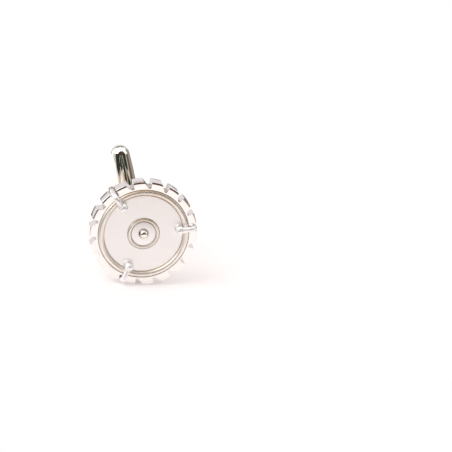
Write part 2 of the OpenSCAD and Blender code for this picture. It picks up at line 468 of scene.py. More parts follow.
def silver(name, clean=CLEAN, warm=WARM, rough=0.05, lines=1.0, tarnish_and_shade_mask=None):
    """A polished silver. tarnish_and_shade_mask(graph, point) says where tarnish and painted shade sit, lines how
    worn it is.
    """
    material, graph, point = new_material(name)
    cloud = clouds(graph, point, 0.45)
    patches = cloud.step(0.52, 0.72)
    scratch = hairlines(graph, point, *FIRST_WIPE) + hairlines(graph, point, *SECOND_WIPE)
    # Random tarnish patches, plus the piece's own mask, which on the wheel, the wires and the pip also paints
    # shade into the colour.
    if tarnish_and_shade_mask:
        tarnish_and_shade = patches * 0.15 + tarnish_and_shade_mask(graph, point) * (0.75 + cloud * 0.5)
    else:
        tarnish_and_shade = patches * 0.22
    colour = graph.mix(tarnish_and_shade, clean, warm)
    roughness = rough + cloud * (0.5 * rough) + scratch * (LINE_ROUGHNESS * lines)
    roughness = roughness + tarnish_and_shade * TARNISH_ROUGHNESS
    wave = noise(graph, point, WAVE_SCALE, detail=1.0)
    relief = wave * WAVE_HEIGHT + scratch * (LINE_HEIGHT * lines)
    close_metal(graph, colour, roughness, relief, strength=0.35, depth=MM / 200)
    return material


print("silver reflects", CLEAN, "and tarnishes towards", WARM)

# %% [markdown]
# Geometry node trees make what repeats or follows a path: the wheel's notches, the beads and the
# claws. Each tree has a named input for every size, ends in Realize Instances and Set Material,
# and is then cooked to a plain mesh. The sizes go into the modifier by each socket's identifier.

# %% A recipe and how it is cooked
def new_recipe(name, sizes):
    """A geometry node tree with a named input for each size, and the values that they give."""
    tree = bpy.data.node_groups.new(name, "GeometryNodeTree")
    tree.interface.new_socket("Geometry", in_out="OUTPUT", socket_type="NodeSocketGeometry")
    tree.interface.new_socket("Geometry", in_out="INPUT", socket_type="NodeSocketGeometry")
    tree.interface.new_socket("Material", in_out="INPUT", socket_type="NodeSocketMaterial")
    for key in sizes:
        tree.interface.new_socket(key, in_out="INPUT", socket_type="NodeSocketFloat")
    graph = Graph(tree)
    entry = tree.nodes.new("NodeGroupInput")
    return graph, {socket.name: Value(graph, socket) for socket in entry.outputs if socket.name}


def close_recipe(graph, size, geometry):
    real = graph.node("GeometryNodeRealizeInstances", {"Geometry": geometry})
    dressed = graph.node("GeometryNodeSetMaterial", {"Geometry": real, "Material": size["Material"]})
    graph.end("NodeGroupOutput", {"Geometry": dressed})
    return graph.tree


def cook(name, recipe, material, sizes, place, blank=None):
    """Runs a recipe with its sizes and returns a plain mesh in its place."""
    piece = blank or forge(name, bmesh.new(), Matrix.Identity(4))
    piece.name = name
    modifier = piece.modifiers.new("recipe", "NODES")
    modifier.node_group = recipe
    values = {"Material": material, **sizes}
    for socket in recipe.interface.items_tree:
        if socket.in_out == "INPUT" and socket.name in values:
            modifier[socket.identifier] = values[socket.name]
    settle(piece)
    piece.data.transform(place)
    return piece


def combine(graph, x=0.0, y=0.0, z=0.0):
    return graph.node("ShaderNodeCombineXYZ", {"X": x, "Y": y, "Z": z})


def straight(graph, start, end):
    return graph.node("GeometryNodeCurvePrimitiveLine", {"Start": start, "End": end})


def circle(graph, steps, radius):
    return graph.node("GeometryNodeCurvePrimitiveCircle", {
        "Resolution": steps, "Radius": radius}, mode="RADIUS")


def moved(graph, geometry, how, vector):
    return graph.node("GeometryNodeTransform", {"Geometry": geometry, how: vector})


def polar(graph, radius, angle):
    return combine(graph, radius * angle.cosine(), radius * angle.sine())


print("a recipe takes a geometry, a material and its sizes")

# %% [markdown]
# The wheel is the piece that takes the most skill. It is turned, and its edge is then milled
# with eighteen notches like a ratchet's: one flank of a notch is radial, the other slants. The
# claws stand in three of the notches, so each of these also gets a round seat. The notches
# follow a rule, so a recipe makes them: one cutter, set round the wheel as instances, and one
# boolean that takes them all out. The wheel's front falls away a little towards the tips, and
# that slope mirrors the dark end of the room as a thin line along the upper teeth.

# %% Turn the wheel's blank
TEETH = 18
CLAWS = 3
PITCH = 2 * math.pi / TEETH
LOWEST = math.radians(270)
CLAW_ANGLES = [LOWEST - PITCH + i * 2 * math.pi / CLAWS for i in range(CLAWS)]
NOTCH_DEPTH = 1.05 * MM
NOTCH_MOUTH = 1.34 * MM
NOTCH_ROOT = 0.42 * MM
RIM_LAND = 0.3 * MM
TIP_SLOPE_WIDTH = 0.34 * MM
TIP_SLOPE = math.radians(9)
TIP_ROUND = 0.09 * MM
SLOPE_ROUND = 0.3 * MM
BACK_ROUND = 0.1 * MM
RECESS_ROUND = 0.03 * MM
WHEEL_BUFF = 0.035 * MM
WHEEL_STEPS = 288
DRILL_STEPS = 64
RIVET_SHANK = 0.9 * MM
CLAW_WIRE = 0.92 * MM
CLAW_INSET = 0.5 * MM
FIT = 0.02 * MM
OVERRUN = 0.5 * MM

rim_radius = reach("toothed_rim")
rim_front = front("toothed_rim")
rim_floor = back("face_disc")
root_radius = rim_radius - NOTCH_DEPTH
recess_radius = root_radius - RIM_LAND
claw_place = rim_radius - CLAW_INSET
shank_hole = RIVET_SHANK / 2 + FIT
tip_front = rim_front - TIP_SLOPE_WIDTH * math.tan(TIP_SLOPE)

wheel_blank = lathe("wheel_blank", soften([
    (shank_hole, 0, 0),
    (rim_radius, 0, BACK_ROUND),
    (rim_radius, tip_front, TIP_ROUND),
    (rim_radius - TIP_SLOPE_WIDTH, rim_front, SLOPE_ROUND),
    (recess_radius, rim_front, RECESS_ROUND),
    (recess_radius, rim_floor, 0),
    (shank_hole, rim_floor, 0),
], loop=True), Matrix.Identity(4), loop=True, steps=WHEEL_STEPS)
print("blank:", len(wheel_blank.data.polygons), "faces")

# %% Mill the notches
def ring_of(graph, piece, count, first):
    """Sets copies of a piece evenly round the Z axis, the first one at an angle."""
    spots = graph.node("GeometryNodePoints", {"Count": count})
    angle = first + graph.node("GeometryNodeInputIndex") * (2 * math.pi / count)
    return graph.node("GeometryNodeInstanceOnPoints", {
        "Points": spots, "Instance": piece, "Rotation": combine(graph, z=angle)})


def milling_recipe():
    graph, size = new_recipe("ratchet_milling", ["Wheel Radius", "Depth", "Mouth", "Root", "Thickness",
                                                 "Claw Place", "Claw Seat", "Lowest"])
    root_radius = size["Wheel Radius"] - size["Depth"]
    half_mouth = (size["Mouth"] / (2 * size["Wheel Radius"])).maths("ARCSINE")
    root_turn = 2 * (size["Root"] / (2 * root_radius)).maths("ARCSINE")
    root_start = polar(graph, root_radius, -half_mouth)
    root_end = polar(graph, root_radius, root_turn - half_mouth)
    mouth_end = polar(graph, size["Wheel Radius"], half_mouth)
    slant = graph.vector("SUBTRACT", mouth_end, root_end)
    beyond = graph.vector("ADD", mouth_end, graph.vector("SCALE", slant, Scale=OVERRUN / size["Depth"]))
    outline = graph.node("GeometryNodeCurvePrimitiveQuadrilateral", {
        "Point 1": polar(graph, size["Wheel Radius"] + OVERRUN, -half_mouth),
        "Point 2": beyond, "Point 3": root_end, "Point 4": root_start}, mode="POINTS")
    height = straight(graph, (0, 0, -OVERRUN), combine(graph, z=size["Thickness"] + OVERRUN))
    cutter = graph.node("GeometryNodeCurveToMesh", {
        "Curve": height, "Profile Curve": outline, "Fill Caps": True})
    drill = graph.node("GeometryNodeMeshCylinder", {
        "Vertices": DRILL_STEPS, "Radius": size["Claw Seat"],
        "Depth": size["Thickness"] + 2 * OVERRUN})
    drill_centre = combine(graph, size["Claw Place"], z=size["Thickness"] / 2)
    drill_placed = moved(graph, drill, "Translation", drill_centre)
    notches = ring_of(graph, cutter, TEETH, size["Lowest"])
    seats = ring_of(graph, drill_placed, CLAWS, size["Lowest"] - PITCH)
    milled = graph.node("GeometryNodeMeshBoolean", {
        "Mesh 1": size["Geometry"], "Mesh 2": [notches, seats]}, operation="DIFFERENCE", solver="EXACT")
    return close_recipe(graph, size, milled)


def notch_root_tarnish_and_shade(graph, point):
    """Tarnish stays in the roots of the notches, where no cloth reaches, but not on the front; the same brown also
    paints shade into the notches.
    """
    x, y, z = on_face(graph, point)
    root = near(from_middle(x, y), root_radius / MM, 0.32) * 0.5
    return root * (z - rim_front / MM).step(0.0, -0.12)


# The brown in the notch roots is partly tarnish and partly painted shade.
wheel_silver = silver("wheel_silver", clean=(0.935, 0.90, 0.87), warm=(0.50, 0.34, 0.25), rough=0.13,
                      tarnish_and_shade_mask=notch_root_tarnish_and_shade)
wheel = cook("ratchet_wheel", milling_recipe(), wheel_silver, {
    "Wheel Radius": rim_radius, "Depth": NOTCH_DEPTH, "Mouth": NOTCH_MOUTH, "Root": NOTCH_ROOT,
    "Thickness": rim_front, "Claw Place": claw_place, "Claw Seat": CLAW_WIRE / 2 + FIT, "Lowest": LOWEST,
}, face_drawing, blank=wheel_blank)
break_edges(wheel, WHEEL_BUFF)
set_in(wheel, "toothed_rim")

# %% [markdown]
# The face is a disc let into the wheel. It is blasted or brushed to a satin: the surface still
# mirrors, but every grain tilts it a little another way, so it shows an even pale sheen. A
# fine noise in the bump does that at the right scale, and a middling roughness does the rest.
# Round the beads and the rivet the satin is warmer and darker.

# %% The satin finish
BEAD_WIDTH = 1.0 * MM
BEAD_SEAT = 0.45 * MM
INNER_BEAD_WIDTH = 0.58 * MM
INNER_BEAD_CREST = 4.72 / 2 * MM
BOSS_SEAT = 0.3 * MM
FACE_ROUND = 0.05 * MM
POCKET_ROUND = 0.04 * MM
BOSS_ROUND = 0.07 * MM
SATIN_SHADES = ((0.935, 0.912, 0.897), (0.96, 0.942, 0.927))
BEAD_EDGE_BROWN = (0.66, 0.53, 0.41)

face_front = front("face_disc")
disc_radius = reach("face_disc")
raised_radius = disc_radius - BEAD_WIDTH - FIT
pocket_radius = INNER_BEAD_CREST + INNER_BEAD_WIDTH / 2 + FIT


def satin(name):
    material, graph, point = new_material(name)
    x, y, _ = on_face(graph, point)
    radius = from_middle(x, y)
    cloud = clouds(graph, point, 0.35)
    grain = noise(graph, point, 22.0, detail=2.0, roughness=0.6)
    # Warmer and darker near the edge wire, the inner wire and the rivet.
    at_edge = near(radius, raised_radius / MM, 0.30) * 0.35
    at_pocket = near(radius, pocket_radius / MM, 0.22) * 0.4
    at_rivet = near(radius, reach("centre_rivet") / MM, 0.20) * 0.8
    browning = (at_edge + at_pocket + at_rivet) * (0.6 + cloud * 0.8)
    colour = graph.mix(browning, graph.mix(cloud, *SATIN_SHADES), BEAD_EDGE_BROWN)
    roughness = 0.32 + grain * 0.08 + cloud * 0.04
    close_metal(graph, colour, roughness, grain, strength=0.5, depth=MM / 100)
    return material


satin_silver = satin("satin_silver")
print("satin between", round(pocket_radius / MM, 2), "and", round(raised_radius / MM, 2), "mm")

# %% Turn the face
face = lathe("satin_face", soften([
    (shank_hole, rim_floor, 0),
    (disc_radius, rim_floor, 0),
    (disc_radius, face_front - BEAD_SEAT, 0),
    (raised_radius, face_front - BEAD_SEAT, 0),
    (raised_radius, face_front, FACE_ROUND),
    (pocket_radius, face_front, POCKET_ROUND),
    (pocket_radius, face_front - BOSS_SEAT, 0),
    (shank_hole, face_front - BOSS_SEAT, 0),
], loop=True), face_drawing, loop=True)
set_in(face, "face_disc", satin_silver)

# %% The boss in the middle
boss_front = front("centre_boss")
boss = lathe("boss_button", soften([
    (shank_hole, face_front - BOSS_SEAT, 0),
    (reach("centre_boss"), face_front - BOSS_SEAT, 0),
    (reach("centre_boss"), boss_front, BOSS_ROUND),
    (shank_hole, boss_front, 0),
], loop=True), face_drawing, loop=True)
set_in(boss, "centre_boss", satin_silver)

# %% [markdown]
# Two half-round wires are laid in rings on the face: a wide one at the edge and a narrow one
# round the boss. They could be turned like the rest, but on the real piece they are drawn wire,
# so a recipe bends a half-round profile into a ring. Their crests are burnished bright by the
# sleeve, and their feet keep a line of brown. A painted shade deepens that brown towards the top
# and the bottom of each ring, most at the top, and there it reaches onto the crest too.

# %% Bend the half-round wires
PROFILE_STEPS = 48
RING_STEPS = 192

bead_radius = disc_radius - BEAD_WIDTH / 2


def wire_recipe():
    """The profile is a circle whose lower half is squared off and cut at the seat."""
    graph, size = new_recipe("half_round_wire", ["Ring Radius", "Width", "Crest Centre", "Seat"])
    half = size["Width"] / 2
    round_wire = circle(graph, PROFILE_STEPS, half)
    x, y, _ = split(graph, graph.node("GeometryNodeInputPosition"))
    below = y.maths("GREATER_THAN", TINY / 10)
    squared = x + below * (x.maths("SIGN") * half - x)
    deep = y.maths("MINIMUM", size["Crest Centre"] - size["Seat"])
    profile = graph.node("GeometryNodeSetPosition", {
        "Geometry": round_wire, "Position": combine(graph, squared, deep)})
    path = circle(graph, RING_STEPS, size["Ring Radius"])
    ring = graph.node("GeometryNodeCurveToMesh", {"Curve": path, "Profile Curve": profile})
    lifted = moved(graph, ring, "Translation", combine(graph, z=size["Crest Centre"]))
    return close_recipe(graph, size, lifted)


def bead_silver(name, crest_radius, width):
    """Burnished on the crest and brown down the sides, with painted shade that grows towards the top of the ring
    and, less, towards its bottom.
    """
    # The wires' mask: brown at the feet, with painted shade at the top and the bottom of the ring.
    def foot(graph, point):
        x, y, _ = on_face(graph, point)
        radius = from_middle(x, y)
        sides = near(radius, crest_radius / MM, width / 2 / MM).step(0.75, 0.0)
        # Painted shade: strongest at the top of the ring, weaker at the bottom, none at the sides.
        upright = (y / radius) ** 2 * (1 + y / radius * 0.5)
        feet_and_painted_shade = sides * (0.14 + upright * 0.66)
        # The painted shade also darkens the crest at the top and the bottom of the ring.
        return feet_and_painted_shade + upright * 0.2
    return silver(name, clean=(0.975, 0.925, 0.865), warm=(0.56, 0.45, 0.34), rough=0.35, tarnish_and_shade_mask=foot)


half_round = wire_recipe()
for node, name, ring_radius, width, seat_depth in [
    ("edge_bead", "edge_wire", bead_radius, BEAD_WIDTH, BEAD_SEAT),
    ("inner_bead", "inner_wire", INNER_BEAD_CREST, INNER_BEAD_WIDTH, BOSS_SEAT),
]:
    burnished = bead_silver(name + "_silver", ring_radius, width)
    bead = cook(name, half_round, burnished, {
        "Ring Radius": ring_radius, "Width": width,
        "Crest Centre": front(node) - width / 2, "Seat": face_front - seat_depth,
    }, face_drawing)
    set_in(bead, node)

# %% [markdown]
# The pip in the middle is the head of a rivet that goes through boss, disc, wheel and plate.
# Its head is a full dome, polished but softened by wear, so it shows the whole room at once,
# very small and a little blurred.

# %% Turn the rivet
pip_radius = reach("centre_rivet")
rivet_back = back("centre_rivet")
DOME_STEPS = 20
BAR_STEPS = 96


def arc(centre, radius, start, end, steps):
    """Points along an arc in the XY plane, from one angle to another."""
    angles = [start + (end - start) * k / steps for k in range(steps + 1)]
    return [(centre[0] + radius * math.cos(a), centre[1] + radius * math.sin(a)) for a in angles]


def pip_foot_and_painted_sides(graph, point):
    """Darker towards the pip's foot, a little all round and most at its left and right sides, where the dark is a
    painted reflection.
    """
    x, y, z = on_face(graph, point)
    # Painted reflection: this share grows towards the left and the right side of the dome.
    sideways = x * x / (x * x + y * y)
    return (z - boss_front / MM).step(0.72, 0.30) * (0.25 + sideways ** 2 * 0.75)


# The near-black tint paints the dark reflections at the pip's sides and darkens its foot.
pip_silver = silver("pip_silver", warm=(0.13, 0.08, 0.045), rough=0.2, lines=0.7, tarnish_and_shade_mask=pip_foot_and_painted_sides)
shank = [(0, rivet_back), (RIVET_SHANK / 2, rivet_back), (RIVET_SHANK / 2, boss_front)]
dome = arc((0, boss_front), pip_radius, 0, math.pi / 2, DOME_STEPS)
pip = lathe("centre_pip", shank + dome, face_drawing, steps=BAR_STEPS)
set_in(pip, "centre_rivet", pip_silver)

# %% [markdown]
# Three claws of round wire come up through notches, bend in over the edge wire and end in a
# ball that presses on the face. The ball is the wire's own end, melted back until it drew up.
# A claw follows a path, so a recipe draws it: a corner with a fillet gives the path, and the
# wire's thickness along it swells smoothly into the ball. The path is sampled more closely
# towards the ball, where the shape changes fastest. The claws have a softer finish than the
# wheel, which shows little of the room but its light and dark.

# %% Draw the claws
CLAW_BEND = 0.8 * MM
CLAW_BALL = 1.55 * MM
CLAW_REACH = 2.5 * MM
CLAW_WELD = 0.16 * MM
WIRE_STEPS = 110
WIRE_SIDES = 40
BEND_STEPS = 24

plate_back = back("back_plate")
ball_place = claw_place - CLAW_REACH
ball_height = face_front + FIT + CLAW_BALL / 2
bead_centre = front("edge_bead") - BEAD_WIDTH / 2
over_bead = Vector((bead_radius - ball_place, ball_height - bead_centre))
clear_of_bead = BEAD_WIDTH / 2 + FIT + CLAW_WIRE / 2
claw_slope = math.atan2(over_bead.x, over_bead.y) - math.acos(clear_of_bead / over_bead.length)


def claw_recipe():
    graph, size = new_recipe("claw_wire", ["Angle", "Place", "Back", "Reach", "Ball Height", "Slope",
                                           "Bend", "Wire Radius", "Ball Radius"])
    tip = size["Place"] - size["Reach"] - size["Ball Radius"] * size["Slope"].cosine()
    tip_height = size["Ball Height"] - size["Ball Radius"] * size["Slope"].sine()
    corner_height = size["Ball Height"] + size["Reach"] * size["Slope"].maths("TANGENT")
    start = combine(graph, size["Place"], z=size["Back"])
    bend = combine(graph, size["Place"], z=corner_height)
    bent = straight(graph, bend, combine(graph, tip, z=tip_height))
    upright = straight(graph, start, bend)
    legs = [graph.node("GeometryNodeCurveToMesh", {"Curve": line}) for line in (bent, upright)]
    lines = graph.node("GeometryNodeJoinGeometry", {"Geometry": legs})
    joined = graph.node("GeometryNodeMergeByDistance", {"Geometry": lines, "Distance": TINY})
    corner = graph.node("GeometryNodeMeshToCurve", {"Mesh": joined})
    path = graph.node("GeometryNodeFilletCurve", {
        "Curve": corner, "Count": BEND_STEPS, "Radius": size["Bend"]}, mode="POLY")
    line = graph.node("GeometryNodeMeshLine", {"Count": WIRE_STEPS, "Offset": (0.0, 0.0, MM / 10)})
    left = 1 - graph.node("GeometryNodeInputIndex") / (WIRE_STEPS - 1)
    sample = {"Curves": path, "Factor": 1 - left * left}
    along = graph.node("GeometryNodeSampleCurve", sample, "Position", mode="FACTOR")
    placed = graph.node("GeometryNodeSetPosition", {"Geometry": line, "Position": along})
    wire = graph.node("GeometryNodeMeshToCurve", {"Mesh": placed})
    spline = graph.node("GeometryNodeSplineParameter", output="Length")
    length = graph.node("GeometryNodeCurveLength", {"Curve": path})
    from_ball = spline - length + size["Ball Radius"]
    ball = (size["Ball Radius"] ** 2 - from_ball * from_ball).maths("MAXIMUM", 0) ** 0.5
    stem = size["Wire Radius"] * from_ball.maths("LESS_THAN", 0)
    thickness = ball.maths("SMOOTH_MAX", stem, CLAW_WELD)
    mesh = graph.node("GeometryNodeCurveToMesh", {
        "Curve": wire, "Profile Curve": circle(graph, WIRE_SIDES, 1.0),
        "Scale": thickness, "Fill Caps": True})
    turned = moved(graph, mesh, "Rotation", combine(graph, z=size["Angle"]))
    return close_recipe(graph, size, turned)


claw_wire = claw_recipe()
claw_silver = silver("claw_silver", clean=(0.985, 0.975, 0.98), warm=(0.52, 0.38, 0.25), rough=0.42)
for i, angle in enumerate(CLAW_ANGLES):
    claw = cook(f"claw_wire_{i + 1}", claw_wire, claw_silver, {
        "Angle": angle, "Place": claw_place, "Back": plate_back,
        "Reach": CLAW_REACH, "Ball Height": ball_height, "Slope": claw_slope, "Bend": CLAW_BEND,
        "Wire Radius": CLAW_WIRE / 2, "Ball Radius": CLAW_BALL / 2,
    }, face_drawing)
    set_in(claw, f"claw_{i + 1}")

# %% [markdown]
# Behind the wheel lies a plate with three ears, which hold the ends of the claws. It is sawn
# from sheet, so it is drawn as an outline and given a thickness. The holes are bored with
# turned pegs, and one pass over the buff breaks all its edges.

# %% Saw the back plate
EAR_WALL = 0.1 * MM
PLATE_INSET = 0.15 * MM
FOOT_SEAT = 0.2 * MM
PLATE_BUFF = 0.03 * MM
PEG_STEPS = 72
EAR_STEPS = 16
EDGE_STEPS = 48

plate_radius = root_radius - PLATE_INSET
ear_radius = CLAW_WIRE / 2 + EAR_WALL


def slab(name, outline, low, high, place):
    """An outline in the XY plane with a thickness along Z."""
    body = bmesh.new()
    floor = [body.verts.new((x, y, low)) for x, y in outline]
    roof = [body.verts.new((x, y, high)) for x, y in outline]
    body.faces.new(floor)
    body.faces.new(roof)
    for k in range(len(outline)):
        after = (k + 1) % len(outline)
        body.faces.new((floor[k], floor[after], roof[after], roof[k]))
    return forge(name, body, place)


def peg(radius, low, high, place):
    """A round bar for boring a hole."""
    return lathe("peg", [(0, low), (radius, low), (radius, high), (0, high)], place, steps=PEG_STEPS)


plate_outline = []
ear_half = math.asin(ear_radius / plate_radius)
for angle in CLAW_ANGLES:
    ear = arc((claw_place, 0), ear_radius, -math.pi / 2, math.pi / 2, EAR_STEPS)
    plate_outline += [Matrix.Rotation(angle, 2) @ Vector(p) for p in ear]
    next_ear = angle + 2 * math.pi / CLAWS
    plate_outline += arc((0, 0), plate_radius, angle + ear_half, next_ear - ear_half, EDGE_STEPS)
plate = slab("backing_plate", plate_outline, plate_back, 0, face_drawing)
for angle in CLAW_ANGLES:
    spot = Matrix.Rotation(angle, 4, "Z") @ Matrix.Translation((claw_place, 0, 0))
    cut(plate, peg(CLAW_WIRE / 2 + FIT, plate_back - OVERRUN, OVERRUN, face_drawing @ spot))
foot_front = plate_back + FOOT_SEAT
foot_radius = reach("post_foot")
cut(plate, peg(foot_radius + FIT, plate_back - OVERRUN, foot_front, face_drawing))
cut(plate, peg(shank_hole, plate_back - OVERRUN, OVERRUN, face_drawing))
plate_silver = silver("plate_silver", clean=(0.77, 0.69, 0.60), rough=0.03)
break_edges(plate, PLATE_BUFF)
set_in(plate, "back_plate", plate_silver)

# %% [markdown]
# The post is a foot, a stem and a forked frame, soldered together. Foot and stem are turned.
# The stem has a thin spigot at each end, which sits in a hole of the next piece and keeps the
# three in line.

# %% Turn the foot and the stem
FOOT_BEVEL = 0.35 * MM
FOOT_RIM_ROUND = 0.12 * MM
FOOT_BACK_ROUND = 0.2 * MM
SPIGOT_WIDTH = 1.2 * MM
SPIGOT_LENGTH = 0.5 * MM

foot_back = back("post_foot")
stem_radius = reach("post_stem")
neck_front = back("post_stem") + SPIGOT_LENGTH
spigot_hole = SPIGOT_WIDTH / 2 + FIT
post_silver = silver("post_silver", rough=0.06)
foot = lathe("solder_foot", soften([
    (0, foot_front, 0),
    (foot_radius, foot_front, 0),
    (foot_radius, foot_back + FOOT_BEVEL, FOOT_RIM_ROUND),
    (foot_radius - FOOT_BEVEL, foot_back, FOOT_BACK_ROUND),
    (spigot_hole, foot_back, 0),
    (spigot_hole, foot_back + SPIGOT_LENGTH + FIT, 0),
    (0, foot_back + SPIGOT_LENGTH + FIT, 0),
]), face_drawing)
set_in(foot, "post_foot", plate_silver)

stem = lathe("post", [
    (0, neck_front - SPIGOT_LENGTH),
    (SPIGOT_WIDTH / 2, neck_front - SPIGOT_LENGTH),
    (SPIGOT_WIDTH / 2, neck_front),
    (stem_radius, neck_front),
    (stem_radius, foot_back),
    (SPIGOT_WIDTH / 2, foot_back),
    (SPIGOT_WIDTH / 2, foot_back + SPIGOT_LENGTH),
    (0, foot_back + SPIGOT_LENGTH),
], face_drawing, steps=BAR_STEPS)
set_in(stem, "post_stem", post_silver)

# %% [markdown]
# The forked frame holds the toggle between two arms. Its outline, seen along the toggle, is a
# long loop that is open at the back. That outline is given a thickness, and a second outline,
# seen from the side, rounds off the ends of the arms, as a file would.

# %% Forge the frame
ARM_THICKNESS = 0.85 * MM
ARM_WIDTH = 2.6 * MM
TOGGLE_LENGTH = 18.35 * MM
TOGGLE_WIDTH = 4.0 * MM
TIP_RADIUS = 1.6 * MM
TIP_GAP = 0.4 * MM
SIDE_GAP = 0.08 * MM
RUN = 0.04 * MM
PIN = 1.1 * MM
PIN_HEAD = 1.9 * MM
PIN_HEAD_HEIGHT = 0.38 * MM
WASHER = 1.9 * MM
SPOT_DEPTH = 0.25 * MM
FORK_BUFF = 0.12 * MM
NECK_STEPS = 24
LOOP_STEPS = 48
ARM_STEPS = 32

gap_radius = TOGGLE_WIDTH / 2 + SIDE_GAP
fork_radius = gap_radius + ARM_THICKNESS
loop_centre = gap_radius - TOGGLE_LENGTH / 2 - TIP_GAP
neck_end = ahead(swivel["pos_m"][1]) - neck_front
neck_angle = math.acos(stem_radius / fork_radius)
across = hinge_drawing @ Matrix.Rotation(math.pi / 2, 4, "Y")
sideways = hinge_drawing @ Matrix(((0, 0, 1, 0), (1, 0, 0, 0), (0, 1, 0, 0), (0, 0, 0, 1)))
along_post = hinge_drawing @ Matrix.Translation((0, neck_end, 0)) @ Matrix.Rotation(-math.pi / 2, 4, "X")

right_arc = arc((0, loop_centre), fork_radius, -neck_angle, 0, NECK_STEPS)
arm_end = ARM_WIDTH / 2 + OVERRUN
fork_outline = [(-stem_radius, neck_end), (stem_radius, neck_end)] + right_arc
fork_outline += [(fork_radius, arm_end), (gap_radius, arm_end)]
fork_outline += arc((0, loop_centre), gap_radius, 0, -math.pi, LOOP_STEPS)
fork_outline += [(-gap_radius, arm_end), (-fork_radius, arm_end)]
fork_outline += [(-x, y) for x, y in reversed(right_arc)]
fork = slab("forked_frame", fork_outline, -arm_end, arm_end, hinge_drawing)
side_outline = arc((0, 0), ARM_WIDTH / 2, -math.pi / 2, math.pi / 2, ARM_STEPS)
side_outline += [(neck_end - OVERRUN, ARM_WIDTH / 2), (neck_end - OVERRUN, -ARM_WIDTH / 2)]
past_arm = fork_radius + OVERRUN
cut(fork, slab("side_view", side_outline, -past_arm, past_arm, sideways), "INTERSECT")
cut(fork, peg(PIN / 2 + FIT, -past_arm, past_arm, across))
cut(fork, peg(spigot_hole, -OVERRUN, SPIGOT_LENGTH + FIT, along_post))
break_edges(fork, FORK_BUFF, steps=4)
set_in(fork, "post_frame", post_silver)

# %% [markdown]
# The toggle is a bullet-shaped bar, turned and polished to a mirror. Each flank is one long arc
# that runs into the round tips without a corner, so nothing breaks the long reflections. It is
# drilled across for the pin, with a small flat round the hole for a spring washer.

# %% Turn the bullet
BULLET_STEPS = 128
TIP_STEPS = 20
FLANK_STEPS = 60

toggle_radius = TOGGLE_WIDTH / 2
toggle_half = TOGGLE_LENGTH / 2
tip_centre = toggle_half - TIP_RADIUS
flank_chord = toggle_half ** 2 - 2 * toggle_half * TIP_RADIUS + toggle_radius ** 2
flank_radius = flank_chord / (toggle_radius - TIP_RADIUS) / 2
meeting = math.asin(tip_centre / (flank_radius - TIP_RADIUS))
bullet_outline = arc((0, -tip_centre), TIP_RADIUS, -math.pi / 2, -meeting, TIP_STEPS)
bullet_outline += arc((toggle_radius - flank_radius, 0), flank_radius, -meeting, meeting, FLANK_STEPS)
bullet_outline += arc((0, tip_centre), TIP_RADIUS, meeting, math.pi / 2, TIP_STEPS)
bullet = lathe("bullet", [(max(0, x), y) for x, y in bullet_outline], hinge_drawing, steps=BULLET_STEPS)
cut(bullet, peg(PIN / 2 + RUN, -TOGGLE_WIDTH, TOGGLE_WIDTH, across))
for side in (0, math.pi):
    spot = across @ Matrix.Rotation(side, 4, "X")
    cut(bullet, peg(WASHER / 2 + SIDE_GAP, toggle_radius - SPOT_DEPTH, TOGGLE_WIDTH, spot))
mirror_silver = silver("mirror_silver", rough=0.03, lines=0.7)
set_in(bullet, "toggle_bar", mirror_silver)

# %% Turn the hinge pin
HEAD_STEPS = 14

head_ball = ((PIN_HEAD / 2) ** 2 + PIN_HEAD_HEIGHT ** 2) / PIN_HEAD_HEIGHT / 2
head_start = math.pi / 2 - math.acos(1 - PIN_HEAD_HEIGHT / head_ball)
head_centre = fork_radius + PIN_HEAD_HEIGHT - head_ball
head = arc((0, head_centre), head_ball, head_start, math.pi / 2, HEAD_STEPS)
half_pin = [(PIN / 2, 0), (PIN / 2, fork_radius)] + [(max(0, x), y) for x, y in head]
pin = lathe("hinge_rivet", [(x, -y) for x, y in reversed(half_pin)] + half_pin, across, steps=PEG_STEPS)
set_in(pin, "hinge_pin", post_silver)

# %% Spring steel for the washers
STEEL_SHADES = ((0.42, 0.41, 0.40), (0.60, 0.59, 0.58))
STEEL_WIPE = ((0.2, 0.4, 0.1), 30)


def steel():
    material, graph, point = new_material("spring_steel")
    cloud = clouds(graph, point, 1.2)
    streak = hairlines(graph, point, *STEEL_WIPE)
    colour = graph.mix(cloud, *STEEL_SHADES)
    close_metal(graph, colour, 0.22 + cloud * 0.12, streak, strength=0.3, depth=MM / 200)
    return material


spring_steel = steel()
for node in ("washer_left", "washer_right"):
    frame["nodes"][node].data.materials.clear()
    frame["nodes"][node].data.materials.append(spring_steel)
print("the washers keep their constructed shape")

# %% [markdown]
# Silver is a mirror, so the studio is half of the picture. It is read back from what the silver
# shows: a white room, with a dark opening in front between the end of a tan floor and a lintel,
# the upper part of the dark being brown. At the right are a brown door and a grey wall, at the
# left stands a post, and behind is a lilac wall, grey further up, with dark things low beside
# it. The world is painted with that room, by compass direction and height. The camera itself
# sees plain white, and what scatters light gets an even, slightly warm one.

# %% Paint the room
WHITE_ROOM = (1.20, 1.18, 1.16)
LILAC_WALL = (0.84, 0.80, 0.83)
GREY_WALL = (0.33, 0.30, 0.26)
TAN_FLOOR = (0.66, 0.53, 0.40)
BROWN_DOOR = (0.15, 0.11, 0.07)
GREEN_DARK = (0.028, 0.042, 0.030)
BROWN_DARK = (0.10, 0.055, 0.035)
BACKDROP = (1.0, 1.0, 1.0)
EVEN_LIGHT = (0.96, 0.885, 0.875)


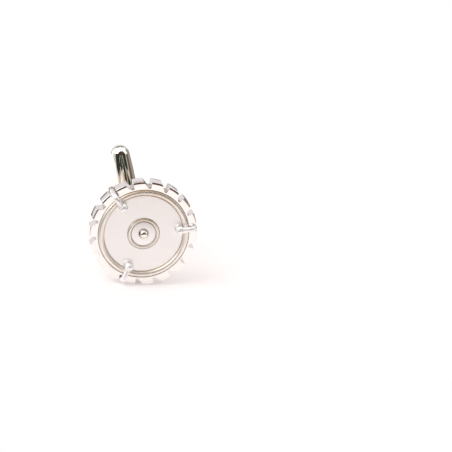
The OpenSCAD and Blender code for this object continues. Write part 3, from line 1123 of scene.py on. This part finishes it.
def studio():
    """In degrees. Azimuth 0 is straight before the face and grows to the picture's right."""
    world = bpy.data.worlds.new("studio")
    world.use_nodes = True
    world.node_tree.nodes.clear()
    world.cycles.sampling_method = "NONE"
    graph = Graph(world.node_tree)
    heading = graph.node("ShaderNodeTexCoord", output="Generated")
    x, y, z = split(graph, heading)
    elevation = z.maths("ARCSINE") * math.degrees(1)
    azimuth = x.maths("ARCTAN2", -y) * math.degrees(1)

    # The dark itself: green-black, with brown patches above and in the middle.
    speckle = clouds(graph, heading, 3.0)
    brown = elevation.step(12, 26).maths("MAXIMUM", azimuth.band(-2, 25, 4)) * speckle.step(0.30, 0.55)
    dark = graph.mix(brown, GREEN_DARK, BROWN_DARK)

    # In front: the floor, whose end climbs to the right, the opening over it and a threshold.
    floor_line = azimuth.step(-52, -28) * 5.4 + azimuth.step(-15, 36) * 14.9
    floor_line = floor_line + azimuth.step(36, 62) * 2.3 - 23.5
    floor = azimuth.band(-62, 60, 4) * (elevation - floor_line).step(1, -1)
    lintel = azimuth.band(-62, 50, 16) * 42 + 13
    past_floor = (elevation - floor_line).step(-1, 1)
    under_lintel = (elevation - lintel).step(2, -2)
    opening = azimuth.band(-67, 61, 4) * past_floor * under_lintel
    threshold = azimuth.band(34, 62, 4) * elevation.band(-9, -3.3, 0.6)

    # To the sides: the door, the post and the grey wall.
    door = azimuth.band(64, 97, 5) * elevation.step(14, 6)
    left_post = azimuth.step(-132, -75) * azimuth.step(-60, -68) * elevation.band(-26, 8, 4) * 0.5
    side_wall = azimuth.band(92, 140, 4) * elevation.step(44, 32)
    side_wall = side_wall.maths("MAXIMUM", azimuth.band(92, 172, 4) * elevation.step(0, -6))

    # Behind: the lilac wall, grey from half of its height, and the dark things low beside it.
    at_rear = azimuth.distance().step(130, 150)
    behind = at_rear * elevation.band(-9, 50, 3)
    rear = at_rear * elevation.band(27, 60, 3)
    far_left = azimuth.step(-163, -167) * elevation.band(-13, 4, 1.5)
    low_left = azimuth.step(-138, -146) * elevation.band(-15, -10.5, 1)
    skyline = azimuth.step(163, 166) * 8.5 - azimuth.step(156, 158) * 3.5 - 1
    far_right = azimuth.step(147, 153) * elevation.step(-22, -18) * (elevation - skyline).step(0.8, -0.8)

    room = graph.mix(behind, WHITE_ROOM, LILAC_WALL)
    room = graph.mix(floor, room, TAN_FLOOR)
    room = graph.mix(side_wall.maths("MAXIMUM", rear), room, GREY_WALL)
    room = graph.mix(door, room, BROWN_DOOR)
    for shade in (opening, threshold, left_post, far_left, low_left, far_right):
        room = graph.mix(shade, room, dark)
    for ray, colour in (("Is Diffuse Ray", EVEN_LIGHT), ("Is Camera Ray", BACKDROP)):
        room = graph.mix(graph.node("ShaderNodeLightPath", output=ray), room, colour)
    graph.end("ShaderNodeOutputWorld", {
        "Surface": graph.node("ShaderNodeBackground", {"Color": room, "Strength": 1.0})})
    return world


bpy.context.scene.world = studio()
bpy.context.scene.view_settings.view_transform = "Standard"
print("room:", len(bpy.context.scene.world.node_tree.nodes), "nodes")

# %% [markdown]
# The piece stands on white paper. Its outline is read back from the silver too, which mirrors
# where the paper ends. It glows a little, as paper under broad light does. One large square
# lamp hangs at the upper left, and its size decides how soft the shadow at the foot is.

# %% Lay the paper
# The outline is in millimetres.
PAPER_OUTLINE = [(-38, 27), (-38, 2), (-19, 2), (-19, -180), (40, -180), (40, -50), (60, -50), (60, 38),
                 (-13, 38), (-13, 27)]
PAPER_SHADES = ((0.66, 0.66, 0.66), (0.69, 0.69, 0.69))
PAPER_GLOW = (1.0, 0.93, 0.92, 1.0)
GLOW_STRENGTH = 0.30


def paper_stock():
    material, graph, point = new_material("white_paper")
    fibre = noise(graph, point, 0.6, detail=4.0, roughness=0.6)
    bump = graph.node("ShaderNodeBump", {"Strength": 0.1, "Distance": MM / 50, "Height": fibre})
    shader = graph.node("ShaderNodeBsdfPrincipled", {
        "Base Color": graph.mix(fibre, *PAPER_SHADES), "Roughness": 0.9, "Specular IOR Level": 0.1,
        "Normal": bump, "Emission Color": PAPER_GLOW, "Emission Strength": GLOW_STRENGTH})
    graph.end("ShaderNodeOutputMaterial", {"Surface": shader})
    return material


sheet = bmesh.new()
sheet.faces.new([sheet.verts.new((x * MM, y * MM, 0)) for x, y in PAPER_OUTLINE])
paper = forge("paper", sheet, Matrix.Identity(4))
paper.data.materials.append(paper_stock())
print("paper:", len(PAPER_OUTLINE), "corners")

# %% Hang the soft light
LIGHT_SIZE = 0.5
LIGHT_AWAY = 0.6
LIGHT_DIRECTION = (-1.0, -0.42, 1.0)
LIGHT_POWER = 2.0
LIGHT_COLOUR = (1.0, 0.99, 0.98)

light_data = bpy.data.lights.new("window", "AREA")
light_data.shape = "SQUARE"
light_data.size = LIGHT_SIZE
light_data.energy = LIGHT_POWER
light_data.color = LIGHT_COLOUR
window = put_in_scene("window", light_data)
face_middle = face_drawing @ Vector((0, 0, face_front))
toward_window = Vector(LIGHT_DIRECTION).normalized()
window.location = face_middle + LIGHT_AWAY * toward_window
window.rotation_euler = toward_window.to_track_quat("Z", "Y").to_euler()
print("light at", [round(c, 3) for c in window.location])

# %% [markdown]
# The camera stands where the photographer stood: a little to the left and above, with the
# picture slightly tilted. The angles come from lining up the rim, the teeth and the toggle.

# %% Set up the camera
DISTANCE = 0.4
AZIMUTH = math.radians(12.0)
ELEVATION = math.radians(18.0)
ROLL = math.radians(5.8)
LENS = 192.5
SENSOR = 36
AIM_RIGHT = 13.65 * MM
AIM_UP = 1.255 * MM

flat = math.cos(ELEVATION)
sight = Vector((math.sin(AZIMUTH) * flat, math.cos(AZIMUTH) * flat, -math.sin(ELEVATION)))
level = Vector((math.cos(AZIMUTH), -math.sin(AZIMUTH), 0))
overhead = level.cross(sight)
right = math.cos(ROLL) * level + math.sin(ROLL) * overhead
up = math.cos(ROLL) * overhead - math.sin(ROLL) * level
camera_data = bpy.data.cameras.new("camera")
camera_data.sensor_width = SENSOR
camera_data.lens = LENS
camera_data.clip_start = 0.01
camera_data.clip_end = 10
camera = put_in_scene("camera", camera_data)
aim = face_middle + AIM_RIGHT * right + AIM_UP * up
facing = Matrix((right, up, -sight)).transposed().to_4x4()
camera.matrix_world = Matrix.Translation(aim - DISTANCE * sight) @ facing
bpy.context.scene.camera = camera
print("camera at", [round(c, 3) for c in camera.location])
